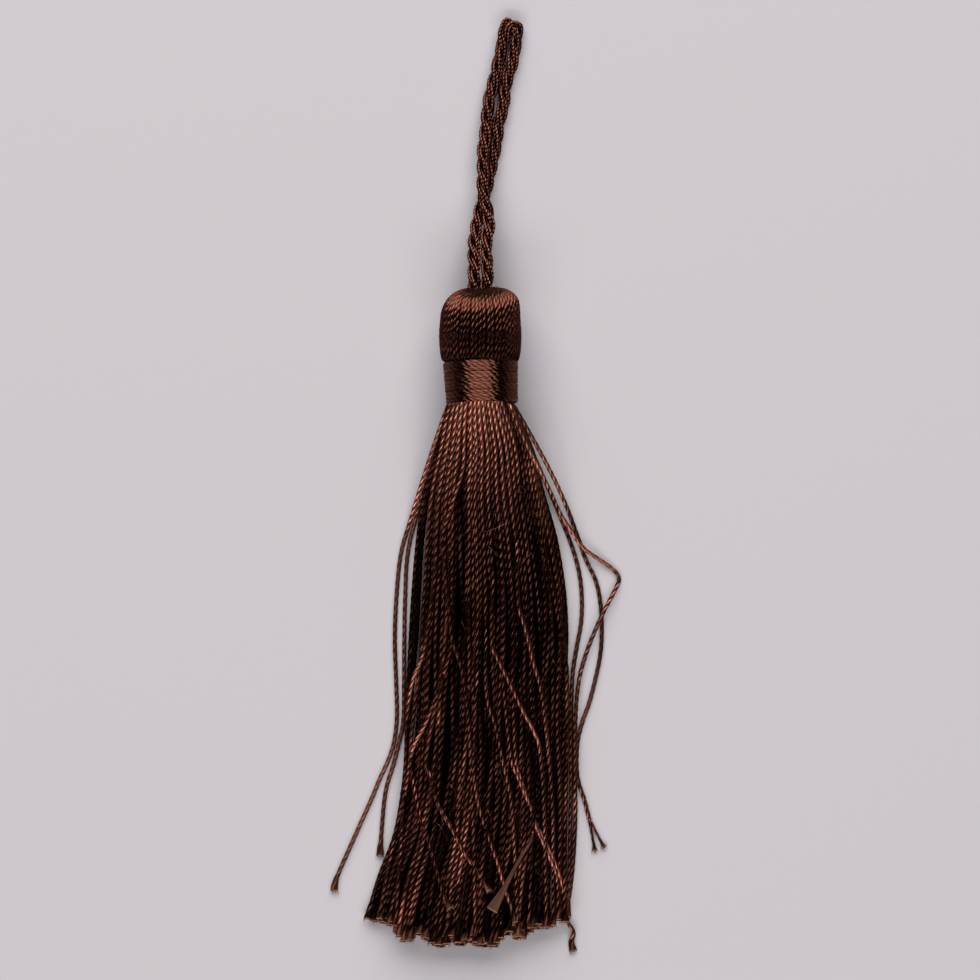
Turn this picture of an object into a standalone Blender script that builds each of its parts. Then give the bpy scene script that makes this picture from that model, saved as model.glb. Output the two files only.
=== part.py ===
# A yarn tassel with a hanging loop, lying on its back on a flat surface.
# Metres, +Z up. The loop points along +Y and the hem along -Y. The origin lies on the
# surface, under the middle of the head, binding and skirt.
# Three sub-parts: head_and_skirt is the folded hank of yarn, whose strands stand apart
# below the neck; neck_binding is the wound yarn; hanging_loop is the folded rope.

import math
import random

import bmesh
import bpy
import numpy as np
from mathutils import Vector, geometry

MM = 0.001
GAP = 0.30 * MM                  # clearance between neighbouring sub-parts

# Neck axis: the head and the binding are round about it
AXIS_X = 0.45 * MM
AXIS_Z = 4.55 * MM

# Head: a dome with a dimple at its top, where the loop goes in
HEAD_RADIUS = 4.80 * MM
HEAD_WAIST_Y = 33.80 * MM        # the head is widest here
HEAD_DOME_DEPTH = 5.20 * MM      # from the waist up to the top
HEAD_DOME_POWER = 3.2            # 2 is an ellipse, more is squarer shoulders
HEAD_RIBS = 48                   # raised yarns round the head
RIB_RELIEF = 0.12 * MM
DIMPLE_RADIUS = 1.95 * MM
DIMPLE_DEPTH = 1.35 * MM
DIMPLE_LIP = 0.40 * MM           # below the top, where the dimple's wall meets its rim
DIMPLE_FLARE = 0.04 * MM
SHOULDER_DROPS = (0.16, 0.50, 1.10, 2.00, 3.30)  # mm below the top, rings of the dome

# Rings of the head from the waist down. Columns: distance below the waist and how much
# smaller the radius is, both in mm, and the share of the ribs' relief.
HEAD_FOOT = ((0.00, 0.00, 1.0), (1.55, 0.10, 1.0), (2.53, 0.42, 0.7))

# Neck: the part of the hank that the binding squeezes
NECK_RADIUS = 3.70 * MM
NECK_TOP_Y = 31.05 * MM
ROOT_Y = 26.20 * MM              # the strands part here, inside the binding

# Binding: a ring of level turns
BINDING_TURNS = 10
BINDING_TOP_Y = 30.75 * MM
BINDING_FOOT_Y = 25.70 * MM
BINDING_RADIUS = 4.42 * MM
BINDING_GROOVE = 0.13 * MM       # how deep the groove is between two turns
BINDING_SIDES = 36

# Strands of the skirt
STRAND_PITCH = 0.1635            # lattice step, as a share of the bundle's radius
LATTICE_TURN = math.atan(2 / (1 + math.sqrt(5)))  # keeps rows apart as the bundle flattens
ROOT_WIDTH = 0.39 * MM
STRAND_WIDTH = 0.39 * MM
RIM_MARGIN = 0.30 * MM           # between the outermost root and the neck's rim
BUNDLE_RADIUS = 3.85 * MM        # the bundle just below the binding, to its outer strands
STRAND_STATIONS = (24.4, 20.0, 14.5, 8.0, -5.0, -22.0)  # mm along Y, between root and hem
LEVEL_BELOW = 0.20 * MM          # a strand this close to the surface rests level on it

# The skirt's outline. Columns: y, left edge, right edge, share of the neck's round
# shape that is left, depth of the flattened bundle. All but the share are in mm.
SKIRT = (
    (26.2, -3.25, 4.15, 1.00, 5.8),
    (24.4, -3.85, 5.00, 0.98, 5.8),
    (20.0, -4.95, 6.90, 0.72, 5.7),
    (16.0, -6.10, 7.90, 0.42, 5.5),
    (11.0, -6.90, 9.20, 0.14, 5.4),
    (4.0, -7.55, 10.40, 0.00, 5.1),
    (-8.0, -8.20, 10.75, 0.00, 4.5),
    (-20.0, -9.30, 10.65, 0.00, 4.1),
    (-29.0, -11.10, 10.50, 0.00, 3.7),
    (-39.5, -12.60, 10.50, 0.00, 3.4),
)

# Hem: lowest in the middle, higher at both corners
HEM_Y = -36.90 * MM
HEM_RISE = 2.60 * MM
HEM_CURVE = 2.2                  # 2 is an arc, more keeps the middle flat
HEM_UNEVEN = 0.45 * MM

# Slow side-to-side waves that neighbouring strands share
WAVE_SWING = 0.22 * MM
WAVE_LENGTH = 26.0 * MM
WAVES_ACROSS = 2.3

# Loose strands. "side" and "rise" give the root's place in the bundle, from -1 to 1.
# Each route row is x, y and the height of the strand's underside, in mm.
LOOSE_STRANDS = (
    {
        "name": "left long",
        "side": -0.96, "rise": -0.10,
        "route": (
            (-3.70, 24.4, 4.20), (-5.90, 18.0, 1.90), (-7.75, 12.1, 0.25), (-8.90, 8.0, 0),
            (-9.42, 2.8, 0), (-9.60, -2.0, 0), (-9.45, -6.6, 0), (-9.35, -11.0, 0),
            (-9.70, -14.0, 0), (-10.40, -16.2, 0), (-11.40, -18.4, 0),
            (-12.30, -20.6, 0), (-14.40, -25.3, 0), (-16.45, -30.0, 0), (-16.75, -31.5, 0),
        ),
    },
    {
        "name": "left short",
        "side": -0.90, "rise": -0.36,
        "route": (
            (-3.45, 24.4, 2.85), (-5.40, 18.0, 1.00), (-7.05, 12.6, 0.08), (-8.25, 8.0, 0),
            (-8.62, 2.8, 0), (-8.75, -2.0, 0), (-8.80, -7.8, 0), (-8.80, -11.6, 0),
            (-9.15, -14.2, 0), (-9.80, -16.8, 0), (-10.45, -18.8, 0),
            (-10.85, -21.0, 0), (-11.20, -25.0, 0), (-11.35, -27.4, 0),
        ),
    },
    {
        "name": "right outer",
        "side": 0.96, "rise": 0.10,
        "route": (
            (4.95, 24.4, 4.30), (7.95, 19.1, 2.40), (10.25, 14.4, 0.55), (12.00, 9.8, 0),
            (12.85, 7.4, 0), (13.95, 5.1, 0), (14.50, 2.7, 0), (14.72, -0.8, 0),
            (14.45, -4.3, 0), (13.35, -9.0, 0), (12.45, -11.6, 0), (11.85, -14.2, 0),
            (11.85, -18.0, 0), (12.70, -20.9, 0), (13.30, -23.2, 0), (14.35, -26.8, 0),
        ),
    },
    {
        "name": "right kinked",
        "side": 0.84, "rise": 0.50,
        "route": (
            (4.30, 24.4, 6.35), (6.30, 20.0, 5.60), (8.30, 16.0, 3.90), (9.70, 13.0, 1.90),
            (11.05, 10.9, 1.10), (12.45, 8.9, 0.62), (14.50, 7.4, 0.23), (15.90, 6.4, 0),
            (16.75, 5.1, 0), (15.75, 2.9, 0.35), (14.70, 0.9, 0.62), (13.45, -2.0, 0.40),
            (12.55, -4.6, 0.14), (11.95, -7.2, 0.40), (11.62, -11.2, 0.62),
            (11.58, -18.5, 0.62), (11.75, -22.8, 0.10), (11.52, -28.0, 0),
            (11.22, -34.0, 0), (11.30, -39.0, 0),
        ),
    },
    {
        "name": "right inner",
        "side": 0.88, "rise": -0.30,
        "route": (
            (4.66, 24.4, 3.40), (7.45, 18.0, 1.20), (9.70, 12.8, 0.08), (11.05, 9.4, 0),
            (11.95, 6.4, 0), (12.35, 3.4, 0), (12.30, 0.2, 0), (11.75, -3.0, 0),
            (11.25, -6.6, 0), (11.12, -12.0, 0), (11.12, -18.0, 0), (11.02, -24.0, 0),
            (10.90, -29.5, 0), (10.68, -34.6, 0),
        ),
    },
)

# Strands that cross over the top of the skirt. "leaves" is where each one rises out of
# the bundle, and the route rows after it are x and y in mm.
TOP_STRANDS = (
    {
        "name": "thin diagonal",
        "side": -0.42, "rise": 0.88, "leaves": -8.0,
        "route": ((-5.80, -15.4), (-2.00, -23.4), (1.90, -31.5)),
    },
    {
        "name": "right diagonal",
        "side": 0.36, "rise": 0.88, "leaves": 4.0,
        "route": ((4.60, -4.0), (7.00, -16.0), (9.20, -26.5)),
    },
    {
        "name": "turned end",
        "side": 0.10, "rise": 0.93, "leaves": -9.0,
        "route": ((5.60, -17.5), (6.55, -24.6), (4.60, -29.6), (1.60, -33.8)),
    },
)
TOP_LIFT = 0.64 * MM             # a crossing strand's centre above the bundle's top layer
TOP_CLIMB = 4.30 * MM            # length over which a crossing strand rises

# Hanging loop: a rope of three plies, folded in two. One leg crosses over the other.
ROPE_RADIUS = 0.63 * MM
ROPE_LOBE = 0.07 * MM            # how far the plies stand out
ROPE_PLIES = 3
ROPE_SIDES = 12
ROPE_LAY = 6.70 * MM             # length of one full turn of the plies
ROPE_STEP = 0.80 * MM
CURVE_STEPS = 8                  # steps between two points of the route, before it is spaced out
# Route from the under leg's root, round the tip, to the over leg's root: x, y, z in mm
LOOP_ROUTE = (
    (-0.38, 37.95, 4.55), (-0.38, 39.40, 4.50), (-0.30, 41.40, 4.00), (-0.42, 43.20, 3.20),
    (-0.33, 44.90, 2.35), (0.03, 46.60, 1.58), (0.40, 48.40, 0.98), (0.88, 50.20, 0.74),
    (1.40, 51.90, 0.72), (1.72, 53.60, 0.72), (2.08, 55.40, 0.72), (2.42, 57.20, 0.72),
    (2.62, 58.90, 0.72), (3.04, 60.70, 0.72), (3.42, 62.40, 0.72), (3.88, 64.20, 0.72),
    (4.20, 65.90, 0.72), (4.52, 67.60, 0.74), (4.76, 69.05, 0.80), (4.42, 70.00, 0.92),
    (3.66, 69.92, 1.02), (3.16, 69.00, 1.00), (2.92, 67.60, 0.90), (2.60, 65.90, 0.82),
    (2.26, 64.20, 0.80), (1.78, 62.40, 0.86), (1.42, 60.70, 1.00), (1.14, 58.90, 1.22),
    (0.98, 57.20, 1.42), (0.82, 55.40, 1.66), (0.76, 53.60, 1.95), (0.74, 51.90, 2.16),
    (0.88, 50.20, 2.22), (1.26, 48.40, 2.26), (1.52, 46.60, 2.56), (1.32, 44.90, 3.10),
    (1.20, 43.20, 3.66), (1.34, 41.40, 4.15), (1.28, 39.40, 4.50), (1.28, 37.95, 4.55),
)

# Materials: base colour, roughness
SKIRT_COLOUR = ((0.058, 0.021, 0.013, 1.0), 0.42)
BINDING_COLOUR = ((0.085, 0.031, 0.021, 1.0), 0.38)
LOOP_COLOUR = ((0.046, 0.017, 0.011, 1.0), 0.46)
SMOOTH_ANGLE = math.radians(50)


def clear_scene():
    for old in list(bpy.data.objects):
        bpy.data.objects.remove(old, do_unlink=True)


def yarn_material(name, look):
    colour, roughness = look
    material = bpy.data.materials.new(name)
    material.use_nodes = True
    shader = material.node_tree.nodes["Principled BSDF"]
    shader.inputs["Base Color"].default_value = colour
    shader.inputs["Roughness"].default_value = roughness
    shader.inputs["Metallic"].default_value = 0.0
    material.diffuse_color = colour
    return material


def finish_object(name, bm, material):
    bmesh.ops.recalc_face_normals(bm, faces=bm.faces)
    mesh = bpy.data.meshes.new(name)
    bm.to_mesh(mesh)
    bm.free()
    mesh.materials.append(material)
    mesh.shade_smooth()
    mesh.set_sharp_from_angle(angle=SMOOTH_ANGLE)
    piece = bpy.data.objects.new(name, mesh)
    bpy.context.scene.collection.objects.link(piece)
    return piece


def bridge_rings(bm, first, second):
    """Walls between two rings of equally many vertices."""
    count = len(first)
    for i in range(count):
        j = (i + 1) % count
        bm.faces.new((first[i], first[j], second[j], second[i]))


def round_section(y, radii):
    """Points round the neck axis at y, pressed flat where they meet the surface."""
    points = []
    for i, radius in enumerate(radii):
        angle = math.tau * i / len(radii)
        z = AXIS_Z + radius * math.sin(angle)
        points.append(Vector((AXIS_X + radius * math.cos(angle), y, max(z, 0.0))))
    return points


def dome_radius(y):
    share = min(1.0, abs(y - HEAD_WAIST_Y) / HEAD_DOME_DEPTH)
    return HEAD_RADIUS * (1 - share**HEAD_DOME_POWER) ** (1 / HEAD_DOME_POWER)


def head_rings():
    """Rows of y, radius and rib relief, from the dimple's floor down to the strands' roots."""
    top_y = HEAD_WAIST_Y + HEAD_DOME_DEPTH
    rows = [
        (top_y - DIMPLE_DEPTH, DIMPLE_RADIUS, 0.0),
        (top_y - DIMPLE_LIP, DIMPLE_RADIUS + DIMPLE_FLARE, 0.0),
    ]
    for i, drop in enumerate(SHOULDER_DROPS):
        y = top_y - drop * MM
        rows.append((y, dome_radius(y), (i + 1) / len(SHOULDER_DROPS)))
    for below, smaller, relief in HEAD_FOOT:
        rows.append((HEAD_WAIST_Y - below * MM, HEAD_RADIUS - smaller * MM, relief))
    return rows + [(NECK_TOP_Y, NECK_RADIUS, 0.0), (ROOT_Y, NECK_RADIUS, 0.0)]


def ribbed_radii(radius, relief):
    """A ridge and a groove in turn for each raised yarn."""
    groove = radius - relief * RIB_RELIEF
    return [radius if i % 2 == 0 else groove for i in range(2 * HEAD_RIBS)]


def smooth_value(xs, values, x):
    """A smooth curve through the table's values, flat beyond its ends."""
    x = min(max(x, xs[0]), xs[-1])
    k = min(int(np.searchsorted(xs, x, side="right")) - 1, len(xs) - 2)
    slopes = np.gradient(values, xs)
    width = xs[k + 1] - xs[k]
    t = (x - xs[k]) / width
    start = (1 + 2 * t) * (1 - t) ** 2 * values[k] + t * (1 - t) ** 2 * width * slopes[k]
    end = t * t * (3 - 2 * t) * values[k + 1] + t * t * (t - 1) * width * slopes[k + 1]
    return start + end


def skirt_section(y):
    """Left edge, right edge, round share and depth of the bundle at y, in metres."""
    table = np.array(SKIRT[::-1])
    ys = table[:, 0] * MM
    left, right, share, depth = (smooth_value(ys, table[:, c], y) for c in (1, 2, 3, 4))
    return left * MM, right * MM, min(max(share, 0.0), 1.0), depth * MM


def strand_point(side, rise, y):
    """Where the strand rooted at side and rise in the bundle passes y."""
    left, right, round_share, depth = skirt_section(y)
    reach = (right - left - STRAND_WIDTH) / 2
    swing = WAVE_SWING * (1 - round_share) * (1 - abs(side))
    wave = math.sin(math.tau * (y / WAVE_LENGTH + WAVES_ACROSS * side / 2))
    x = (left + right) / 2 + reach * side + swing * wave
    column = math.sqrt(max(0.0, 1 - side * side))
    round_z = AXIS_Z + BUNDLE_RADIUS * rise
    flat_z = STRAND_WIDTH / 2 + (depth - STRAND_WIDTH) * (rise + column) / 2
    z = round_share * round_z + (1 - round_share) * flat_z
    if z - STRAND_WIDTH / 2 < LEVEL_BELOW:
        z = STRAND_WIDTH / 2
    return Vector((x, y, z))


def root_point(side, rise):
    reach = NECK_RADIUS - RIM_MARGIN
    return Vector((AXIS_X + reach * side, ROOT_Y, AXIS_Z + reach * rise))


def smooth_route(points, step):
    """Evenly spaced points on a smooth curve through the given ones."""
    fine = []
    count = len(points)
    for i in range(count - 1):
        before = points[max(i - 1, 0)]
        after = points[min(i + 2, count - 1)]
        a, b = points[i], points[i + 1]
        for k in range(CURVE_STEPS):
            t = k / CURVE_STEPS
            fine.append(
                0.5 * ((2 * a) + (b - before) * t + (2 * before - 5 * a + 4 * b - after) * t * t
                       + (3 * a - before - 3 * b + after) * t**3)
            )
    fine.append(points[-1])
    lengths = [0.0]
    for a, b in zip(fine, fine[1:]):
        lengths.append(lengths[-1] + (b - a).length)
    pieces = max(1, round(lengths[-1] / step))
    route = []
    k = 0
    for i in range(pieces + 1):
        target = lengths[-1] * i / pieces
        while k < len(fine) - 2 and lengths[k + 1] < target:
            k += 1
        span = lengths[k + 1] - lengths[k]
        route.append(fine[k].lerp(fine[k + 1], (target - lengths[k]) / span))
    return route


def bundle_route(side, rise, hem_y):
    """A strand that stays in the bundle, from its root to its cut end."""
    stations = [y * MM for y in STRAND_STATIONS]
    return [root_point(side, rise)] + [strand_point(side, rise, y) for y in stations + [hem_y]]


def loose_route(strand):
    """A strand that leaves the bundle and lies on the surface."""
    level = STRAND_WIDTH / 2
    points = [root_point(strand["side"], strand["rise"])]
    for x, y, lift in strand["route"]:
        points.append(Vector((x * MM, y * MM, level + lift * MM)))
    return points


def top_route(strand):
    """A strand that follows the bundle's top, then crosses over it."""
    side, rise = strand["side"], strand["rise"]
    leave_y = strand["leaves"] * MM
    points = [root_point(side, rise)]
    for y in STRAND_STATIONS:
        if y * MM > leave_y + TOP_CLIMB:
            points.append(strand_point(side, rise, y * MM))
    points.append(over_top(strand_point(side, rise, leave_y).x, leave_y))
    points += [over_top(x * MM, y * MM) for x, y in strand["route"]]
    return points


def over_top(x, y):
    """A point lying on the bundle's top at x and y."""
    left, right, round_share, depth = skirt_section(y)
    side = (x - (left + right) / 2) / ((right - left) / 2)
    column = math.sqrt(max(0.0, 1 - side * side))
    top_z = STRAND_WIDTH / 2 + (depth - STRAND_WIDTH) * column
    return Vector((x, y, top_z + TOP_LIFT))


def strand_rings(bm, route):
    """Four-cornered rings along a route, level across, the first one on the root face."""
    rings = []
    for i, point in enumerate(route):
        ahead = route[min(i + 1, len(route) - 1)]
        behind = route[max(i - 1, 0)]
        run = Vector(((ahead - behind).x, (ahead - behind).y, 0.0)).normalized()
        half = (ROOT_WIDTH if i == 0 else STRAND_WIDTH) / 2
        across = Vector((1.0, 0.0, 0.0)) if i == 0 else Vector((-run.y, run.x, 0.0))
        across *= half
        up = Vector((0.0, 0.0, half))
        corners = (point - across - up, point + across - up, point + across + up,
                   point - across + up)
        rings.append([bm.verts.new(corner) for corner in corners])
    return rings


def lattice_roots():
    """Places of the strands in the bundle, in even rows turned out of line."""
    roots = []
    rows = int(1 / STRAND_PITCH) + 2
    cosine, sine = math.cos(LATTICE_TURN), math.sin(LATTICE_TURN)
    for i in range(-rows, rows + 1):
        for j in range(-rows, rows + 1):
            side = STRAND_PITCH * (i * cosine - j * sine)
            rise = STRAND_PITCH * (i * sine + j * cosine)
            if math.hypot(side, rise) <= 1.0:
                roots.append((side, rise))
    return roots


def strand_routes():
    """Routes of all strands. Each loose or crossing strand takes the nearest root."""
    uneven = random.Random(7)
    roots = lattice_roots()
    routes = []
    for strand in LOOSE_STRANDS + TOP_STRANDS:
        place = (strand["side"], strand["rise"])
        nearest = min(roots, key=lambda root: math.dist(root, place))
        roots.remove(nearest)
        placed = dict(strand, side=nearest[0], rise=nearest[1])
        routes.append(top_route(placed) if "leaves" in strand else loose_route(placed))
    for side, rise in roots:
        arch = HEM_RISE * abs(side) ** HEM_CURVE
        hem_y = HEM_Y + arch + uneven.uniform(-1, 1) * HEM_UNEVEN
        routes.append(bundle_route(side, rise, hem_y))
    return routes


def close_root_face(bm, rim, first_rings):
    """Fills the neck's lower face round the strands' roots."""
    corners = list(rim)
    outlines = [list(range(len(rim)))]
    for ring in first_rings:
        start = len(corners)
        corners += ring
        outlines.append(list(range(start, start + len(ring))))
    flat = [Vector((corner.co.x / MM, corner.co.z / MM)) for corner in corners]
    filled = geometry.delaunay_2d_cdt(flat, [], outlines, 1, 1e-6)
    origin = [sources[0] for sources in filled[3]]
    for face, sources in zip(filled[2], filled[5]):
        if all(source == 0 for source in sources):
            bm.faces.new([corners[origin[i]] for i in face])


def make_head_and_skirt():
    bm = bmesh.new()
    rings = []
    for y, radius, relief in head_rings():
        points = round_section(y, ribbed_radii(radius, relief))
        rings.append([bm.verts.new(point) for point in points])
    for upper, lower in zip(rings, rings[1:]):
        bridge_rings(bm, upper, lower)
    bm.faces.new(rings[0])
    first_rings = []
    for route in strand_routes():
        sections = strand_rings(bm, route)
        first_rings.append(sections[0])
        for upper, lower in zip(sections, sections[1:]):
            bridge_rings(bm, upper, lower)
        bm.faces.new(sections[-1])
    close_root_face(bm, rings[-1], first_rings)
    bmesh.ops.triangulate(bm, faces=bm.faces)
    return finish_object("head_and_skirt", bm, yarn_material("skirt_yarn", SKIRT_COLOUR))


def make_binding():
    """A ring whose outside has a ridge for each turn."""
    turn = (BINDING_TOP_Y - BINDING_FOOT_Y) / BINDING_TURNS
    outside = []
    for i in range(2 * BINDING_TURNS + 1):
        y = BINDING_TOP_Y - i * turn / 2
        outside.append((y, BINDING_RADIUS - (BINDING_GROOVE if i % 2 == 0 else 0.0)))
    inner = NECK_RADIUS + GAP
    profile = outside + [(BINDING_FOOT_Y, inner), (BINDING_TOP_Y, inner)]
    bm = bmesh.new()
    rings = []
    for y, radius in profile:
        points = round_section(y, [radius] * BINDING_SIDES)
        rings.append([bm.verts.new(point) for point in points])
    for first, second in zip(rings, rings[1:] + rings[:1]):
        bridge_rings(bm, first, second)
    return finish_object("neck_binding", bm, yarn_material("binding_yarn", BINDING_COLOUR))


def make_loop():
    """A tube with one raised lobe for each ply, turning as the rope is laid."""
    route = smooth_route([Vector(row) * MM for row in LOOP_ROUTE], ROPE_STEP)
    bm = bmesh.new()
    rings = []
    across = Vector((1.0, 0.0, 0.0))
    travelled = 0.0
    for i, point in enumerate(route):
        run = (route[min(i + 1, len(route) - 1)] - route[max(i - 1, 0)]).normalized()
        across = (across - run * across.dot(run)).normalized()
        up = run.cross(across)
        if i:
            travelled += (point - route[i - 1]).length
        laid = -math.tau * travelled / ROPE_LAY
        ring = []
        for k in range(ROPE_SIDES):
            angle = math.tau * k / ROPE_SIDES
            radius = ROPE_RADIUS + ROPE_LOBE * math.cos(ROPE_PLIES * (angle - laid))
            offset = across * math.cos(angle) + up * math.sin(angle)
            ring.append(bm.verts.new(point + offset * radius))
        rings.append(ring)
    for first, second in zip(rings, rings[1:]):
        bridge_rings(bm, first, second)
    bm.faces.new(rings[0])
    bm.faces.new(rings[-1])
    return finish_object("hanging_loop", bm, yarn_material("loop_rope", LOOP_COLOUR))


clear_scene()
make_head_and_skirt()
make_binding()
make_loop()
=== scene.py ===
import math

import bpy
import numpy as np
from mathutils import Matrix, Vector


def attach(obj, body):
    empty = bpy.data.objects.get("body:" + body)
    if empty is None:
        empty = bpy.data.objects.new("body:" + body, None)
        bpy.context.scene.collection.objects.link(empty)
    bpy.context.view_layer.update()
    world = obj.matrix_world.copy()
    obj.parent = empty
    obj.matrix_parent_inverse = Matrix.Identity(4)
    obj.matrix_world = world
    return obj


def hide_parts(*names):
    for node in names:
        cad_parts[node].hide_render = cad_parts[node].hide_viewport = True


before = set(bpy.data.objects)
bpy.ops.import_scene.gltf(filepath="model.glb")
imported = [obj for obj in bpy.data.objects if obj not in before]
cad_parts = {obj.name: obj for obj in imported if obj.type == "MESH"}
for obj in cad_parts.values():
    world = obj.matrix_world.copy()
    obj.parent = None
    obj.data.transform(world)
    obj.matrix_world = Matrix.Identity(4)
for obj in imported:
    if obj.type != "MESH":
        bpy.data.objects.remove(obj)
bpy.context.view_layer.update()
print("frame loaded:", sorted(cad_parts))

mm = 0.001
tau = math.tau
dice = np.random.default_rng(11)

# the neck's axis, shared by head and binding, as in the solids
neckAxis = {"x": 0.45 * mm, "z": 4.55 * mm}

# all yarn in the tassel: three fine plies with a Z twist
yarn = {
    "radius": 0.272 * mm,
    "twist": 3.00 * mm,         # length of one full turn of the plies
    "woundTwist": 2.65 * mm,    # the same where the yarn is pulled tight
    "ringsPerTurn": {"hidden": 4, "pressed": 12, "open": 14},
    "routeStep": 0.2 * mm,
    # the twist tightens and loosens over these lengths
    "wobbleWaves": (3.1 * mm, 7.7 * mm),
    "endUntwists": 0.8,         # share of its twist that a cut end has lost
    "endFlattens": 0.45,        # and how far it opens flat
    "leastGrooveShade": 0.16,        # the painted shade between two plies reaches this far up
    "grooveShadeShare": 0.6,         # or this share of the groove's own depth
}


# small shape helpers


def smoothTable(xs, values, x):
    # a smooth curve through a table's rows, xs rising, flat beyond both ends
    x = np.clip(x, xs[0], xs[-1])
    k = np.clip(np.searchsorted(xs, x, side="right") - 1, 0, len(xs) - 2)
    slopes = np.gradient(values, xs)
    width = xs[k + 1] - xs[k]
    t = (x - xs[k]) / width
    start = (1 + 2 * t) * (1 - t) ** 2 * values[k] + t * (1 - t) ** 2 * width * slopes[k]
    end = t * t * (3 - 2 * t) * values[k + 1] + t * t * (t - 1) * width * slopes[k + 1]
    return start + end


def smoothStep(x):
    x = np.clip(x, 0.0, 1.0)
    return x * x * (3 - 2 * x)


def unit(vectors):
    return vectors / np.maximum(np.linalg.norm(vectors, axis=-1, keepdims=True), 1e-12)


def alongLength(path):
    steps = np.linalg.norm(np.diff(path, axis=0), axis=1)
    return np.concatenate([[0.0], np.cumsum(steps)])


def spacedOut(path, step):
    # the same route with its points evenly spaced
    run = alongLength(path)
    count = max(2, int(round(run[-1] / step)) + 1)
    at = np.linspace(0.0, run[-1], count)
    return np.column_stack([np.interp(at, run, path[:, axis]) for axis in range(3)])


def smoothRoute(points, step=yarn["routeStep"]):
    # a smooth curve through given points
    points = np.asarray(points, float)
    t = np.arange(0.0, 1.0, 0.05)[:, None]
    fine = []
    for i in range(len(points) - 1):
        before, after = points[max(i - 1, 0)], points[min(i + 2, len(points) - 1)]
        a, b = points[i], points[i + 1]
        fine.append(0.5 * (2 * a + (b - before) * t
                           + (2 * before - 5 * a + 4 * b - after) * t * t
                           + (3 * a - before - 3 * b + after) * t**3))
    fine.append(points[-1:])
    return spacedOut(np.concatenate(fine), step)


def carriedFrame(path):
    # the route's direction, and one across it that is carried along without spin
    runs = unit(np.gradient(path, axis=0))
    across = np.zeros_like(path)
    last = np.array((1.0, 0.0, 0.0))
    for i, run in enumerate(runs):
        last = last - run * last.dot(run)
        last /= np.linalg.norm(last)
        across[i] = last
    return runs, across


def yarnSection(kind):
    # a three-ply outline, as the angle of each point and its share of the radius
    third = {
        "hidden": ((0, 1.0), (60, 0.92)),
        "pressed": ((0, 1.0), (35, 0.92), (60, 0.72), (85, 0.92)),
        "open": ((0, 1.0), (36, 0.90), (60, 0.62), (84, 0.90)),
    }[kind]
    rows = np.array([(angle + 120 * ply, share) for ply in range(3) for angle, share in third])
    return np.radians(rows[:, 0]), rows[:, 1]


def roundSection(count):
    return tau * np.arange(count) / count, np.ones(count)


def tube(path, reference, radius, angles, shares, spin, tone, tip=None, widen=None, flat=1.0):
    # rings of an outline along a route, turned by spin, as vertices, quads, maps and masks
    runs = unit(np.gradient(path, axis=0))
    up = np.asarray(reference, float)
    if up.ndim == 2 and len(up) != len(path):
        at = np.linspace(0, len(up) - 1, len(path))
        up = np.column_stack([np.interp(at, np.arange(len(up)), up[:, k]) for k in range(3)])
    up = np.broadcast_to(up, path.shape)
    up = unit(up - runs * np.sum(up * runs, axis=1, keepdims=True))
    across = np.cross(up, runs)
    rings, around = len(path), len(angles)
    turned = angles[None, :] + spin[:, None]
    radii = radius * shares[None, :] * (1.0 if widen is None else widen[:, None])
    verts = (path[:, None, :]
             + across[:, None, :] * (radii * np.cos(turned))[..., None]
             + up[:, None, :] * (radii * np.sin(turned) * np.reshape(flat, (-1, 1)))[..., None])
    spots = np.repeat(np.arange(around + 1)[None, :], rings, axis=0)
    length = np.repeat(alongLength(path)[:, None] / mm, around + 1, axis=1)

    def corners(grid):
        # a grid's values at the four corners of each quad
        steps = ((0, 0), (0, 1), (1, 1), (1, 0))
        quarters = [grid[ring:ring + rings - 1, spot:spot + around] for ring, spot in steps]
        return np.stack(quarters, -1).reshape(-1, 4)

    quads = corners(np.arange(rings)[:, None] * around + spots % around)
    # the first map turns with the plies. The second doesn't: its length runs along the yarn
    straight = np.concatenate([turned, turned[:, :1] + tau], axis=1) / tau
    yarnMap, fibreMap = (np.stack([corners(length), corners(grid)], -1)
                         for grid in (spots / around, straight))
    caps = []
    for base, flip in ((0, True), ((rings - 1) * around, False)):
        for i in range(around // 2 - 1):
            cap = [base + i, base + i + 1, base + around - 2 - i, base + around - 1 - i]
            caps.append(cap[::-1] if flip else cap)
    capMap = np.tile([length[-1, 0], 0.5], (len(caps), 4, 1))
    # painted shade: dark in the grooves between the plies. A round outline has none
    unshaded = np.ones(around)
    depth = np.ptp(shares)
    if depth > 0.05:
        shaded = max(yarn["leastGrooveShade"], depth * yarn["grooveShadeShare"])
        unshaded = np.clip((shares - shares.min()) / shaded, 0, 1)
    return {
        "verts": verts.reshape(-1, 3),
        "quads": np.concatenate([quads, np.array(caps, int)]),
        "yarnMap": np.concatenate([yarnMap, capMap]),
        "fibreMap": np.concatenate([fibreMap, capMap]),
        "tone": np.full(rings * around, tone),
        "tip": np.repeat(np.zeros(rings) if tip is None else tip, around),
        "unshaded": np.tile(unshaded, rings),
    }


def addObject(name, data):
    made = bpy.data.objects.new(name, data)
    bpy.context.scene.collection.objects.link(made)
    return made


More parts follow.
